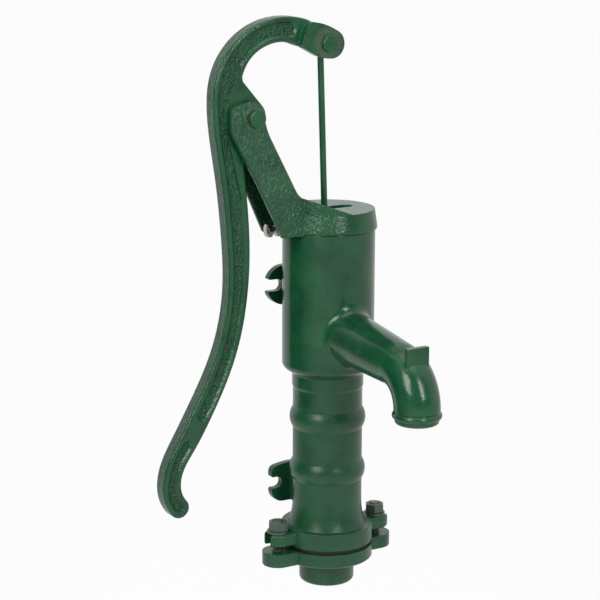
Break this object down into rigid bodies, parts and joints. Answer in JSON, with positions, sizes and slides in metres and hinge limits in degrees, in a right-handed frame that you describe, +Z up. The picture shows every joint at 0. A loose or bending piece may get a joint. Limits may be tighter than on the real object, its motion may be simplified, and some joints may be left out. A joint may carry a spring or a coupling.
{
  "type": "hand pump",
  "caption": "Wall-mounted cast-iron lift pump for well water, with a hooked lever handle, turned-down spout and threaded inlet flange below.",
  "frame": {"origin": "centre of the threaded inlet's mouth, at the bottom of the pump", "axes": "+Z up along the cylinder, +Y towards the wall, -Y towards the spout's mouth, -X towards the handle"},
  "size_m": [0.2821, 0.2528, 0.6211],
  "materials": {
    "green_enamel": "glossy dark green enamel over rough sand-cast iron",
    "zinc_plate": "zinc plate, dulled",
    "worn_steel": "greyish steel, partly brushed over with green paint",
    "rod_steel": "bare drawn steel",
    "plain_iron": "bare machined iron",
    "brass": "turned brass",
    "leather": "greased black leather"
  },
  "bodies": {
    "pump": {"pump_body": "green_enamel", "base_flange": "green_enamel", "flange_gasket": "leather", "flange_bolts": "worn_steel", "flange_nuts": "worn_steel", "flange_washers": "zinc_plate"},
    "cap": {"cap_bracket": "green_enamel", "cap_set_screw": "zinc_plate", "set_screw_lock_nut": "zinc_plate", "pivot_pin": "worn_steel", "pivot_split_pin": "worn_steel", "pivot_washer": "zinc_plate"},
    "handle": {"handle": "green_enamel", "rod_pin": "worn_steel", "rod_split_pin": "worn_steel"},
    "rod": {"piston_rod": "rod_steel"},
    "piston": {"piston_yoke": "plain_iron", "piston_cup_leather": "leather", "piston_follower": "plain_iron"},
    "delivery_valve": {"piston_valve": "brass"},
    "foot_valve": {"clack_flap": "leather", "clack_weight": "plain_iron", "clack_washer": "zinc_plate", "clack_screw": "zinc_plate"}
  },
  "joints": [
    {"name": "cap_swivel", "type": "hinge", "parent": "pump", "child": "cap", "pos_m": [0, 0, 0.402], "axis": [0, 0, 1], "range_deg": [-8, 60]},
    {"name": "handle_pivot", "type": "hinge", "parent": "cap", "child": "handle", "pos_m": [-0.099, 0, 0.5205], "axis": [0, 1, 0], "range_deg": [0, 57.3]},
    {"name": "rod_hinge", "type": "hinge", "parent": "handle", "child": "rod", "pos_m": [-0.012, 0, 0.5925], "axis": [0, 1, 0], "range_deg": [-52.3, 0]},
    {"name": "piston_slide", "type": "slide", "parent": "cap", "child": "piston", "axis": [0, 0, 1], "range_m": [-0.1045, 0]},
    {"name": "delivery_valve_lift", "type": "slide", "parent": "piston", "child": "delivery_valve", "axis": [0, 0, 1], "range_m": [0, 0.006]},
    {"name": "foot_valve_flap", "type": "hinge", "parent": "pump", "child": "foot_valve", "pos_m": [0, 0.024, 0.0477], "axis": [-1, 0, 0], "range_deg": [0, 30]}
  ],
  "couplings": [
    {"joint": "rod_hinge", "follows": "handle_pivot", "ratio": -0.911},
    {"joint": "piston_slide", "follows": "handle_pivot", "m_per_rad": -0.104}
  ]
}
